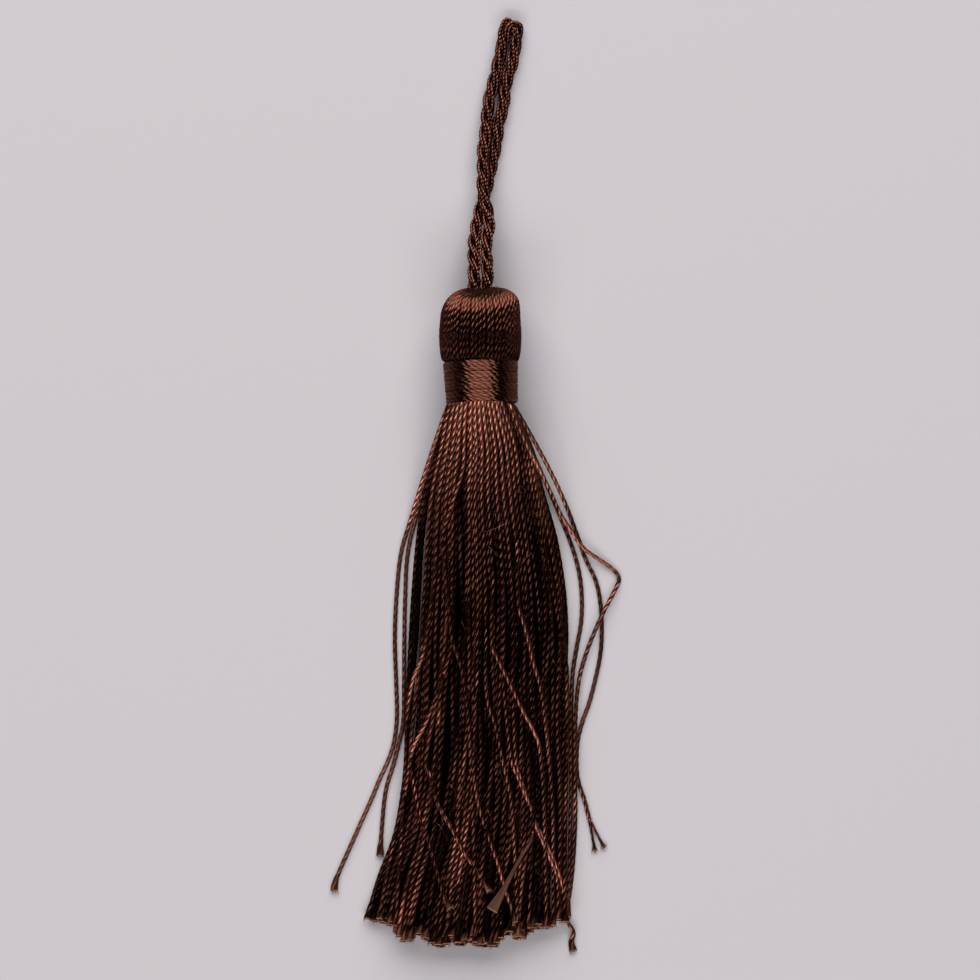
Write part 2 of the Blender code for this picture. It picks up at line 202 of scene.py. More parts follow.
def buildPiece(name, parts, material, nodes=("head_and_skirt",)):
    # joins the parts into one mesh object that rides on the body and stands for its nodes
    offsets = np.cumsum([0] + [len(part["verts"]) for part in parts[:-1]])
    verts = np.concatenate([part["verts"] for part in parts])
    quads = np.concatenate([part["quads"] + offset for part, offset in zip(parts, offsets)])
    mesh = bpy.data.meshes.new(name)
    mesh.vertices.add(len(verts))
    mesh.vertices.foreach_set("co", verts.astype(np.float32).ravel())
    mesh.loops.add(quads.size)
    mesh.loops.foreach_set("vertex_index", quads.astype(np.int32).ravel())
    mesh.polygons.add(len(quads))
    mesh.polygons.foreach_set("loop_start", np.arange(0, quads.size, 4, dtype=np.int32))
    mesh.update(calc_edges=True)
    for mapName in ("yarnMap", "fibreMap"):
        uvs = np.concatenate([part[mapName] for part in parts])
        layer = mesh.uv_layers.new(name=mapName)
        layer.data.foreach_set("uv", uvs.astype(np.float32).ravel())
    for mask in ("tone", "tip", "unshaded"):
        values = np.concatenate([part[mask] for part in parts]).astype(np.float32)
        mesh.attributes.new(mask, "FLOAT", "POINT").data.foreach_set("value", values)
    mesh.shade_smooth()
    mesh.materials.append(material)
    piece = addObject(name, mesh)
    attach(piece, "root")
    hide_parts(*nodes)
    print(f"{name}: {len(quads) * 2} triangles")
    return piece


def yarnTube(path, tone, kind="pressed", endLength=0.0, reference=(0, 0, 1), radius=None,
             flat=1.0, twist=None, openness=0.8, wobble=0.0):
    # one three-ply yarn along a route. Its cut end opens and pales over endLength
    twist = twist or yarn["twist"]
    path = spacedOut(path, twist / yarn["ringsPerTurn"][kind])
    run = alongLength(path)
    angles, shares = yarnSection(kind)
    start = dice.uniform(0, tau)
    tip = np.zeros(len(path))
    if endLength > 0:
        tip = np.clip(1 - (run[-1] - run) / endLength, 0, 1)
    unwound = np.concatenate([[0.0], np.diff(run) * (1 - yarn["endUntwists"] * tip[1:])])
    turns = tau * np.cumsum(unwound) / twist
    # the twist is tighter here and looser there
    shorter, longer = yarn["wobbleWaves"]
    turns = turns + wobble * (np.sin(run / shorter + start) + np.sin(run / longer))
    fan = smoothStep(tip) * openness
    return tube(path, reference, radius or yarn["radius"], angles, shares, start + turns, tone,
                tip**3, 1 + fan, flat * (1 - yarn["endFlattens"] * fan))


def cutEnd(path, tone, hidden=False, back=6):
    # where a yarn ends and which way it points there
    return path[-1], unit(path[-1] - path[-back]), tone, hidden


# camera, straight above as in the photo


def makeCamera():
    view = {
        "pixel": 0.117 * mm,    # the real size of a photo pixel
        "pixelsWide": 980,
        "pixelHeight": 2 * mm,  # that size holds this far above the floor
        "middle": (1.58 * mm, 15.62 * mm),
        "height": 420 * mm,
        "sensor": 36.0,
    }
    data = bpy.data.cameras.new("camera")
    camera = addObject("camera", data)
    camera.location = (*view["middle"], view["height"])
    data.sensor_width = view["sensor"]
    data.sensor_fit = "HORIZONTAL"
    wide = view["pixelsWide"] * view["pixel"]
    data.lens = view["sensor"] * (view["height"] - view["pixelHeight"]) / wide
    data.clip_start = 0.01
    data.clip_end = 10.0
    bpy.context.scene.camera = camera
    print("camera placed")


# materials

# what the yarn's shader takes in and gives back
silkInputs = {
    "Deep": "Color",           # dark fibres, and the painted shade in the grooves between plies
    "Bright": "Color",         # on top of them
    "Cut End": "Color",
    "Fibre Count": "Float",    # round the yarn
    "Tone Spread": "Float",    # how far the yarns differ from each other
    "Shade Drift": "Float",    # how far one yarn's shade drifts along it
    "Smooth": "Float",         # the silk's own roughness
}
silkResults = {"Colour": "Color", "Roughness": "Float", "Relief": "Float"}


def silkYarnGroup():
    # colour, roughness and fine relief of lustrous yarn, from its masks and its length map
    silk = {
        "fibreStretch": 0.55,  # fibre streaks a mm along the yarn
        "shadeStretch": 0.13,  # and slow changes of shade
        "fibrePlace": 37.0,    # each yarn's tone gives it its own place in the streaks
        "shadePlace": 91.0,    # and in the slow shade
        "fibreContrast": 0.5, "level": 0.45,
        "endContrast": 0.8, "endLevel": 0.25,   # a cut end pales in streaks
        "fibreRoughness": 0.16, "endRoughness": 0.22,
    }
    group = bpy.data.node_groups.new("silkYarn", "ShaderNodeTree")
    for way, sockets in (("INPUT", silkInputs), ("OUTPUT", silkResults)):
        for name, kind in sockets.items():
            group.interface.new_socket(name=name, in_out=way, socket_type="NodeSocket" + kind)
    nodes, links = group.nodes, group.links
    given = nodes.new("NodeGroupInput").outputs
    results = nodes.new("NodeGroupOutput").inputs

    def mask(name):
        node = nodes.new("ShaderNodeAttribute")
        node.attribute_name = name
        return node.outputs["Fac"]

    def maths(operation, first, second, clamp=False):
        node = nodes.new("ShaderNodeMath")
        node.operation = operation
        node.use_clamp = clamp
        for socket, value in zip(node.inputs, (first, second)):
            if isinstance(value, (int, float)):
                socket.default_value = value
            else:
                links.new(value, socket)
        return node.outputs[0]

    def noise(x, y, z=None):
        place = nodes.new("ShaderNodeCombineXYZ")
        for axis, value in (("X", x), ("Y", y), ("Z", z)):
            if value is not None:
                links.new(value, place.inputs[axis])
        texture = nodes.new("ShaderNodeTexNoise")
        texture.inputs["Scale"].default_value = 1.0
        texture.inputs["Detail"].default_value = 2.0
        links.new(place.outputs[0], texture.inputs["Vector"])
        return texture.outputs["Fac"]

    def mix(share, first, second):
        node = nodes.new("ShaderNodeMix")
        node.data_type = "RGBA"
        links.new(share, node.inputs["Factor"])
        links.new(first, node.inputs["A"])
        links.new(second, node.inputs["B"])
        return node.outputs["Result"]

    tone, tip, unshaded = mask("tone"), mask("tip"), mask("unshaded")
    # long thin fibres: the map's length runs slowly, its round runs fast
    uv = nodes.new("ShaderNodeUVMap")
    uv.uv_map = "yarnMap"
    split = nodes.new("ShaderNodeSeparateXYZ")
    links.new(uv.outputs["UV"], split.inputs[0])
    fibres = noise(maths("MULTIPLY", split.outputs["X"], silk["fibreStretch"]),
                   maths("MULTIPLY", split.outputs["Y"], given["Fibre Count"]),
                   maths("MULTIPLY", tone, silk["fibrePlace"]))
    # slow change of shade along each yarn
    shade = noise(maths("MULTIPLY", split.outputs["X"], silk["shadeStretch"]),
                  maths("MULTIPLY", tone, silk["shadePlace"]))

    toned = maths("MULTIPLY", maths("SUBTRACT", tone, 0.5), given["Tone Spread"])
    drifted = maths("MULTIPLY", maths("SUBTRACT", shade, 0.5), given["Shade Drift"])
    bright = maths("ADD", maths("MULTIPLY", fibres, silk["fibreContrast"]), silk["level"])
    bright = maths("ADD", maths("ADD", bright, toned), drifted)
    # painted shade: where the unshaded mask is low, the colour goes to Deep
    bright = maths("MULTIPLY", bright, unshaded, clamp=True)
    pale = maths("ADD", maths("MULTIPLY", fibres, silk["endContrast"]), silk["endLevel"])
    pale = maths("MULTIPLY", tip, pale, clamp=True)
    body = mix(bright, given["Deep"], given["Bright"])
    links.new(mix(pale, body, given["Cut End"]), results["Colour"])
    rough = maths("ADD", given["Smooth"], maths("MULTIPLY", fibres, silk["fibreRoughness"]))
    rougher = maths("MULTIPLY", tip, silk["endRoughness"])
    links.new(maths("ADD", rough, rougher, clamp=True), results["Roughness"])
    links.new(fibres, results["Relief"])
    return group


def yarnMaterial(name, silk, look):
    material = bpy.data.materials.new(name)
    material.use_nodes = True
    nodes, links = material.node_tree.nodes, material.node_tree.links
    shader = nodes["Principled BSDF"]
    finish = nodes.new("ShaderNodeGroup")
    finish.node_tree = silk
    for socket in silkInputs:
        finish.inputs[socket].default_value = look[socket]
    relief = nodes.new("ShaderNodeBump")
    relief.inputs["Strength"].default_value = look["relief"]
    relief.inputs["Distance"].default_value = 0.03 * mm
    tangent = nodes.new("ShaderNodeTangent")
    tangent.direction_type = "UV_MAP"
    tangent.uv_map = "fibreMap"
    links.new(finish.outputs["Colour"], shader.inputs["Base Color"])
    links.new(finish.outputs["Roughness"], shader.inputs["Roughness"])
    links.new(finish.outputs["Relief"], relief.inputs["Height"])
    links.new(relief.outputs["Normal"], shader.inputs["Normal"])
    links.new(tangent.outputs["Tangent"], shader.inputs["Tangent"])
    shader.inputs["IOR"].default_value = 1.45
    shader.inputs["Metallic"].default_value = look["metal"]
    shader.inputs["Anisotropic"].default_value = look["fibreRun"]
    shader.inputs["Anisotropic Rotation"].default_value = 0.25
    shader.inputs["Specular IOR Level"].default_value = look["lustre"]
    shader.inputs["Specular Tint"].default_value = look["lustreTint"]
    return material


def makeMaterials():
    skirtLook = {
        "Deep": (0.006, 0.0018, 0.0012, 1),
        "Bright": (0.120, 0.0405, 0.0264, 1),
        "Cut End": (0.130, 0.062, 0.036, 1),
        "Fibre Count": 26.0,
        "Tone Spread": 1.35,
        "Shade Drift": 1.9,
        "Smooth": 0.24,
        "relief": 0.25,
        "lustre": 0.5,
        "lustreTint": (1.0, 0.75, 0.65, 1),
        "metal": 1.0,
        "fibreRun": 1.0,       # how far the fibres stretch the gloss across a ply
    }
    # what each yarn changes in the skirt's look
    changes = {
        "skirtYarn": {},
        "headYarn": {"Bright": (0.100, 0.033, 0.0205, 1), "Tone Spread": 0.6, "Shade Drift": 0.9},
        "bindingYarn": {"Bright": (0.090, 0.0305, 0.0200, 1), "Tone Spread": 0.15,
                        "Shade Drift": 0.4},
        "loopRope": {"Bright": (0.110, 0.038, 0.0242, 1), "Tone Spread": 0.7, "Shade Drift": 0.5,
                     "Fibre Count": 40.0, "Smooth": 0.16, "fibreRun": 0.6},
        "looseYarn": {"Deep": (0.008, 0.0026, 0.0018, 1), "Bright": (0.180, 0.066, 0.044, 1),
                      "metal": 0.95},
        "crossingYarn": {"Bright": (0.165, 0.0575, 0.0375, 1), "Tone Spread": 0.5,
                         "Shade Drift": 0.8},
        "fannedYarn": {"Deep": (0.004, 0.0016, 0.0011, 1), "Bright": (0.066, 0.028, 0.0185, 1),
                       "Cut End": (0.085, 0.040, 0.026, 1), "Fibre Count": 18.0, "metal": 0.9,
                       "relief": 0.6, "fibreRun": 0.5},
        # painted shade: the head's core is drawn almost black
        "shadedCore": {"Bright": (0.006, 0.0018, 0.0011, 1), "lustre": 0.2},
    }
    silk = silkYarnGroup()
    made = {name: yarnMaterial(name, silk, {**skirtLook, **changes[name]}) for name in changes}
    print("materials ready")
    return made


# hanging loop: three plies laid into a rope, folded in two


def makeLoop(material):
    rope = {
        "diameter": 1.50 * mm,
        "plies": 3,
        "plyOffset": 0.40 * mm,    # a ply's middle from the rope's middle
        "lay": 6.20 * mm,          # one full turn of the plies, to the left
        "yarnTones": (0.30, 0.43, 0.56),
        "yarnOffset": 0.215 * mm,  # a yarn's middle from its ply's middle
        "yarnRadius": 0.215 * mm,
        "yarnLay": 4.6 * mm,       # one full turn of the yarns in a ply, to the right
        "yarnTwist": 1.60 * mm,    # one full turn of the plies in a yarn
        # painted shade in the grooves: full inside this radius, faded out over this depth
        "grooveShadeRadius": 0.42 * mm,
        "grooveShadeDepth": 0.26 * mm,
        "foldLength": 0.9 * mm,
        "foldOpening": 0.15,
        # where two plies stand up at the fold: place along, way, height and length, in mm
        "bumps": ((-0.80, (0.50, 0.87, 0.0), 0.24, 0.45), (0.45, (-0.05, 1.0, 0.0), 0.46, 0.42)),
        "step": 0.14 * mm,
        "cordPointEvery": 6,
    }
    # the solids' route, from the under leg's root round the tip to the over leg's root
    route = (
        (-0.3, 37.95, 4.55), (-0.3, 39.4, 4.5), (-0.24, 41.4, 4.0), (-0.34, 43.2, 3.2),
        (-0.26, 44.9, 2.35), (0.06, 46.6, 1.58), (0.4, 48.4, 0.98), (0.88, 50.2, 0.74),
        (1.4, 51.9, 0.72), (1.72, 53.6, 0.72), (2.08, 55.4, 0.72), (2.44, 57.2, 0.72),
        (2.66, 58.9, 0.72), (3.12, 60.7, 0.72), (3.28, 62.4, 0.72), (3.74, 64.2, 0.72),
        (4.2, 65.9, 0.72), (4.48, 67.6, 0.74), (4.76, 69.05, 0.8), (4.42, 70.0, 0.92),
        (3.66, 69.92, 1.02), (3.16, 69.0, 1.0), (3.04, 67.6, 0.9), (2.6, 65.9, 0.82),
        (2.18, 64.2, 0.8), (1.74, 62.4, 0.86), (1.4, 60.7, 1.0), (1.16, 58.9, 1.22),
        (1.04, 57.2, 1.42), (0.82, 55.4, 1.66), (0.76, 53.6, 1.95), (0.74, 51.9, 2.16),
        (0.88, 50.2, 2.22), (1.22, 48.4, 2.26), (1.42, 46.6, 2.56), (1.22, 44.9, 3.1),
        (1.12, 43.2, 3.66), (1.24, 41.4, 4.15), (1.18, 39.4, 4.5), (1.18, 37.95, 4.55),
    )
    middle = smoothRoute(np.array(route) * mm, rope["step"])
    runs, across = carriedFrame(middle)
    up = np.cross(runs, across)
    length = alongLength(middle)
    angles, shares = yarnSection("open")
    # the plies stand apart where the rope folds
    foldAt = length[np.argmax(middle[:, 1])]
    fold = np.exp(-((length - foldAt) / rope["foldLength"]) ** 2)
    apart = rope["plyOffset"] * (1 + rope["foldOpening"] * fold)
    outwards, plyPaths = [], []
    for ply in range(rope["plies"]):
        laid = tau * (ply / rope["plies"] - length / rope["lay"])
        outwards.append(across * np.cos(laid)[:, None] + up * np.sin(laid)[:, None])
        plyPaths.append(middle + outwards[ply] * apart[:, None])
    for place, way, height, reach in rope["bumps"]:
        away = np.abs(length - foldAt - place * mm)
        here = np.argmin(away)
        outermost = max(range(rope["plies"]), key=lambda ply: outwards[ply][here].dot(way))
        raised = np.exp(-(away / (reach * mm)) ** 2)[:, None]
        plyPaths[outermost] += np.array(way) * raised * height * mm
    parts = []
    for outward, plyPath in zip(outwards, plyPaths):
        sideways = np.cross(unit(np.gradient(plyPath, axis=0)), outward)
        for strand, tone in enumerate(rope["yarnTones"]):
            turned = tau * (strand / len(rope["yarnTones"]) + length / rope["yarnLay"])
            yarnOutward = outward * np.cos(turned)[:, None] + sideways * np.sin(turned)[:, None]
            path = plyPath + yarnOutward * rope["yarnOffset"]
            spin = tau * alongLength(path) / rope["yarnTwist"]
            part = tube(path, yarnOutward, rope["yarnRadius"], angles, shares, spin, tone)
            # painted shade: darker down in the grooves between the plies
            fromMiddle = part["verts"].reshape(len(path), -1, 3) - middle[:, None, :]
            height = np.linalg.norm(fromMiddle, axis=2) - rope["grooveShadeRadius"]
            part["unshaded"] *= smoothStep(height / rope["grooveShadeDepth"]).ravel()
            parts.append(part)
    loop = buildPiece("hanging_loop_rope", parts, material, ["hanging_loop"])
    print(f"loop: {length[-1] / mm:.1f} mm of rope")


# head: yarns folded over a core

head = {
    "radius": 4.80 * mm,
    "waistY": 33.80 * mm,
    "domeDepth": 5.20 * mm,
    "domePower": 2.8,
    "shoulder": 1.5,           # how much squarer the right shoulder is
    "domeRows": 6,
    # its outline in mm: down from the top and in from a yarn's start, down from the waist
    # and in from the full radius, then y and radius at the foot
    "dimple": ((1.30, 0.25), (0.55, 0.10)),
    "flank": ((-1.2, 0.08), (0.0, 0.0), (1.3, 0.03), (2.3, 0.13), (3.0, 0.30)),
    "foot": ((30.67, 4.20), (30.35, 3.90), (29.85, 3.62)),
    "yarns": 60,
    "yarnRadius": 0.265 * mm,
    "twist": 2.60 * mm,
    "wobble": 0.3,
    "uneven": 0.04,            # of the space between two yarns
    # how far from the axis they start, in turn, in mm
    "starts": (1.75, 2.00, 2.25, 2.50),
    "startUneven": 0.1,
    "sink": 0.25 * mm,
    "sway": 0.02,
    "tones": (0.35, 0.65),
    "shadeY": 30.90 * mm,      # the yarns lie in the binding's shade below this
    "shadeFade": 0.8 * mm,
    "crowdY": 36.90 * mm,      # painted shade: they are drawn darker above this, where they crowd together
    "crowdFade": 1.6 * mm,
    "crowdShade": 0.50,
    "flankFrom": 0.55,         # painted light: the yarns at both sides are drawn paler, from this far out
    "flankFade": 0.35,
    "flankPaintedLight": 0.45,
}


def headProfile(start, angle=math.pi):
    # y and radius down the outside of the head, from a start radius at the dimple
    power = head["domePower"] + head["shoulder"] * max(0.0, math.cos(angle)) ** 2
    topY = head["waistY"] + head["domeDepth"]
    rows = [(topY - down * mm, start - inward * mm) for down, inward in head["dimple"]]
    for radius in np.linspace(start + 0.15 * mm, head["radius"] * 0.95, head["domeRows"]):
        share = (1 - (radius / head["radius"]) ** power) ** (1 / power)
        rows.append((head["waistY"] + head["domeDepth"] * share, radius))
    for down, inward in head["flank"]:
        rows.append((head["waistY"] - down * mm, head["radius"] - inward * mm))
    rows += [(y * mm, radius * mm) for y, radius in head["foot"]]
    return np.array(rows)


def makeHead(material):
    parts = []
    for i in range(head["yarns"]):
        angle = tau * (i + dice.uniform(-head["uneven"], head["uneven"])) / head["yarns"]
        # neighbours start at different places, in the order 0, 3, 2, 1
        start = head["starts"][(i * 7) % len(head["starts"])]
        start += dice.uniform(-head["startUneven"], head["startUneven"])
        profile = headProfile(start * mm, angle)
        sink = head["sink"] + dice.uniform(-0.02, 0.02) * mm
        sway = dice.uniform(-head["sway"], head["sway"])
        share = np.linspace(0, 1, len(profile))
        turned = angle + sway * np.sin(share * math.pi)
        radii = profile[:, 1] - sink
        points = np.column_stack([
            neckAxis["x"] + radii * np.cos(turned),
            profile[:, 0],
            np.maximum(neckAxis["z"] + radii * np.sin(turned), yarn["radius"] * 0.9),
        ])
        path = smoothRoute(points)
        reference = (-math.sin(angle), 0.0, math.cos(angle))
        # painted light: the side yarns get a paler tone
        outFrom = (abs(math.cos(angle)) - head["flankFrom"]) / head["flankFade"]
        tone = dice.uniform(*head["tones"]) + head["flankPaintedLight"] * float(smoothStep(outFrom))
        kind = "hidden" if math.sin(angle) < -0.6 else "pressed"
        part = yarnTube(path, tone, kind, reference=reference, radius=head["yarnRadius"],
                        twist=head["twist"], wobble=head["wobble"])
        y = part["verts"][:, 1]
        part["unshaded"] *= smoothStep((y - head["shadeY"]) / head["shadeFade"])
        # painted shade near the top, where the yarns crowd
        crowded = smoothStep((y - head["crowdY"]) / head["crowdFade"])
        part["unshaded"] *= 1 - head["crowdShade"] * crowded
        parts.append(part)
    buildPiece("head_yarns", parts, material)


def makeCore(material):
    # fills the head under its yarns, so nothing shows between them. It is drawn almost black, as
    # painted shade
    core = {
        "start": 1.7 * mm,
        "inset": 0.42 * mm,
        "below": ((28.0, 3.3), (25.6, 3.2), (24.6, 1.2)),   # y and radius, in mm
        "sides": 48,
    }
    profile = headProfile(core["start"])
    profile[:, 1] = np.maximum(profile[:, 1] - core["inset"], 0.4 * mm)
    profile = np.concatenate([profile, np.array(core["below"]) * mm])
    rings = len(profile)
    path = np.column_stack([np.full(rings, neckAxis["x"]), profile[:, 0],
                            np.full(rings, neckAxis["z"])])
    part = tube(path, (0, 0, 1), 1.0, *roundSection(core["sides"]), np.zeros(rings),
                0.3, widen=profile[:, 1])
    part["verts"][:, 2] = np.maximum(part["verts"][:, 2], 0.35 * mm)
    buildPiece("head_core", [part], material)


# neck binding: one yarn wound round and round


def makeBinding(material):
    binding = {
        "topY": 30.50 * mm,
        "footY": 25.80 * mm,
        "turns": 10.8,
        "pointsPerTurn": 150,
        "startsAt": math.radians(250),
        "radius": 4.18 * mm,
        "yarnWide": 0.30 * mm,   # pulled tight, the yarn lies wide and flat
        "yarnFlat": 0.72,
        "wobble": 1.1,
        "lean": 0.055,           # the turns lean back towards the loop
        # they lie closer here and wider there
        "waves": ((0.37, 1.0), (0.83, 2.2)),
        "uneven": 0.035 * mm,
        "swell": 0.02 * mm,
        "taper": 0.20 * mm,      # narrower at the foot, on the left
        "tone": 0.55,
    }
    count = int(binding["turns"] * binding["pointsPerTurn"])
    share = np.linspace(0, 1, count)
    angle = tau * binding["turns"] * share + binding["startsAt"]
    waves = sum(np.sin(angle * rate + start) for rate, start in binding["waves"])
    radius = binding["radius"] - binding["taper"] * share + binding["swell"] * np.sin(angle * 0.61)
    y = binding["topY"] + (binding["footY"] - binding["topY"]) * share
    y = y + waves * binding["uneven"] + binding["lean"] * radius * np.sin(angle)
    outward = np.column_stack([np.cos(angle), np.zeros(count), np.sin(angle)])
    path = np.array([neckAxis["x"], 0.0, neckAxis["z"]]) + outward * radius[:, None]
    path[:, 0] += binding["taper"] * share
    path[:, 1] = y
    part = yarnTube(path, binding["tone"], reference=outward, radius=binding["yarnWide"],
                    flat=binding["yarnFlat"], twist=yarn["woundTwist"], wobble=binding["wobble"])
    buildPiece("neck_winding", [part], material, ["neck_binding"])


# skirt

# the bundle's outline, as in the solids. Columns: y, left edge, right edge, share of
# the neck's round shape that is left, depth. All but the share are in mm.
skirtRows = np.array((
    (26.2, -3.25, 4.15, 1.00, 5.8),
    (24.4, -3.85, 5.00, 0.98, 5.8),
    (20.0, -4.95, 6.90, 0.72, 5.7),
    (16.0, -6.10, 7.90, 0.42, 5.5),
    (11.0, -6.90, 9.20, 0.14, 5.4),
    (4.0, -7.55, 10.40, 0.00, 5.1),
    (-8.0, -8.20, 10.75, 0.00, 4.5),
    (-20.0, -8.85, 10.65, 0.00, 4.1),
    (-25.0, -9.80, 10.55, 0.00, 3.8),
    (-30.0, -11.65, 10.50, 0.00, 3.6),
    (-35.0, -13.00, 10.50, 0.00, 3.4),
    (-39.5, -13.50, 10.50, 0.00, 3.3),
))[::-1]

skirt = {
    "pitch": 0.1290,          # from yarn to yarn, as a share of the bundle's radius
    "ringPitch": 0.93,        # from ring to ring, as a share of that
    "outerRings": 0.7,        # the rings outside this radius
    "outerCrowd": 1.12,       # hold this many times more
    "placeUneven": 0.06,
    "rootY": 26.6 * mm,
    "roundRadius": 3.80 * mm,
    "spreadLength": 62 * mm,  # the yarns lie looser and looser over this length
    "spread": 0.03,
    "sag": 1.2,               # how far the heaped yarns sink as they lie flat
    "neckFall": 1.15 * mm,    # how far below the solids' top the yarns drop
    "fallLength": 7.0 * mm,   # and how far down from the neck they do so
    "hemY": -37.35 * mm,
    "hemRise": 3.8 * mm,
    "hemCurve": 2.2,
    "lockUneven": 0.58 * mm,  # uneven cut from lock to lock
    "endUneven": 0.20 * mm,   # and from yarn to yarn
    "locks": 24,              # bunches that lie side by side at the hem
    "lockPull": 0.35,
    # the left corner opens into more bunches. It begins at the first number and is full
    # the second number further out, and the same on the way down
    "cornerPull": 0.50,
    "cornerSide": (-0.74, 0.12),
    "cornerY": (-17 * mm, 12 * mm),
    "evenOut": 0.45,
    "swell": 0.10,            # the heap is higher here and lower there
    "swellWaves": (1.6, 34 * mm),
    "driftLength": 33 * mm,   # the yarns' drift grows over this length
    "leanLength": 70 * mm,    # and their lean over this
    "cutLength": 2.3 * mm,    # how far a cut end opens into a fan
    "tone": (0.46, 0.30),     # its middle and its spread
    "toneLimits": (0.03, 0.97),
    "lockTone": 0.18,         # some bunches are darker all through
    "middleShade": 0.30,      # painted shade: the yarns left of the middle are drawn darker
    "shadeSide": (-0.08, 0.26),
    "topLayers": 2.2,         # seen from above, counted in yarns
    "seenLayers": 3.3,
    "strays": 0.28,           # share of the top yarns that stray
    "trianglesEach": 185000,
}

lockSides = np.linspace(-1.0, 1.0, skirt["locks"]) + dice.uniform(-0.02, 0.02, skirt["locks"])
lockLengths = dice.normal(0, skirt["lockUneven"], skirt["locks"])
lockTones = np.random.default_rng(5).normal(0, skirt["lockTone"], skirt["locks"])


def skirtSection(y):
    # the bundle's left edge, right edge, share of the round shape and depth
    ys = skirtRows[:, 0] * mm
    left, right, share, depth = (smoothTable(ys, skirtRows[:, c], y) for c in (1, 2, 3, 4))
    return left * mm, right * mm, np.clip(share, 0, 1), depth * mm


def bundlePath(rootSide, rise, y):
    # where the yarn with this side and rise in the neck runs
    left, right, roundShare, depth = skirtSection(y)
    loose = smoothStep((skirt["rootY"] - y) / skirt["spreadLength"])
    lockSide = lockSides[int(np.argmin(np.abs(lockSides - rootSide)))]
    beginSide, fullSide = skirt["cornerSide"]
    beginY, fullY = skirt["cornerY"]
    corner = smoothStep((beginSide - rootSide) / fullSide) * smoothStep((beginY - y) / fullY)
    pull = skirt["lockPull"] * loose + skirt["cornerPull"] * corner
    side = rootSide + pull * (lockSide - rootSide)
    # the outer yarns spread out evenly where the bundle lies flat
    even = math.asin(max(-1.0, min(1.0, rootSide))) * 2 / math.pi
    side = side + skirt["evenOut"] * (1 - roundShare) * (even - rootSide)
    reach = (right - left) / 2 * (1 + skirt["spread"] * loose) - yarn["radius"]
    x = (left + right) / 2 + reach * side
    column = np.sqrt(np.maximum(0.0, 1 - side * side))
    roundZ = neckAxis["z"] + skirt["roundRadius"] * rise
    heaped = 1 - (1 - (rise + column) / 2) ** skirt["sag"]
    wavesWide, waveLong = skirt["swellWaves"]
    swell = 1 + skirt["swell"] * np.sin(tau * (wavesWide * side + y / waveLong)) * loose
    flatZ = yarn["radius"] + (depth * swell - 2 * yarn["radius"]) * heaped
    z = roundShare * roundZ + (1 - roundShare) * flatZ
    # the top layers drop steeply just below the binding, then lie level
    below = (skirt["rootY"] - y) / skirt["fallLength"]
    z = z - skirt["neckFall"] * (1 + rise) / 2 * below * np.exp(1 - below) * (below > 0)
    return x, z, loose


def topHeight(x, y):
    # the height of the bundle's top
    left, right, _, depth = skirtSection(y)
    side = np.clip((x - (left + right) / 2) / ((right - left) / 2), -0.98, 0.98)
    return yarn["radius"] + (depth - 2 * yarn["radius"]) * np.sqrt(1 - side * side)


def ringPlaces(pitch):
    # the yarns' places in the neck: ring inside ring, side by side in each ring
    places = []
    radius = 1.0
    while radius > 0.03:
        crowd = skirt["outerCrowd"] if radius > skirt["outerRings"] else 1.0
        count = max(1, round(tau * radius / pitch * crowd))
        start = dice.uniform(0, tau)
        for k in range(count):
            uneven = dice.uniform(-skirt["placeUneven"], skirt["placeUneven"])
            angle = start + tau * (k + uneven) / count
            places.append((radius * math.cos(angle), radius * math.sin(angle)))
        radius -= pitch * skirt["ringPitch"]
    return places


def wander(y, amount, shortest, longest):
    # one yarn's own slow drift, growing away from the neck. The numbers are in mm
    grown = smoothStep((skirt["rootY"] - y) / skirt["driftLength"])
    waves = 0
    for share in (0.45, 0.55):
        length = dice.uniform(shortest, longest) * mm
        waves = waves + share * np.sin(tau * (y / length + dice.random()))
    return amount * mm * grown * (waves - waves[0])


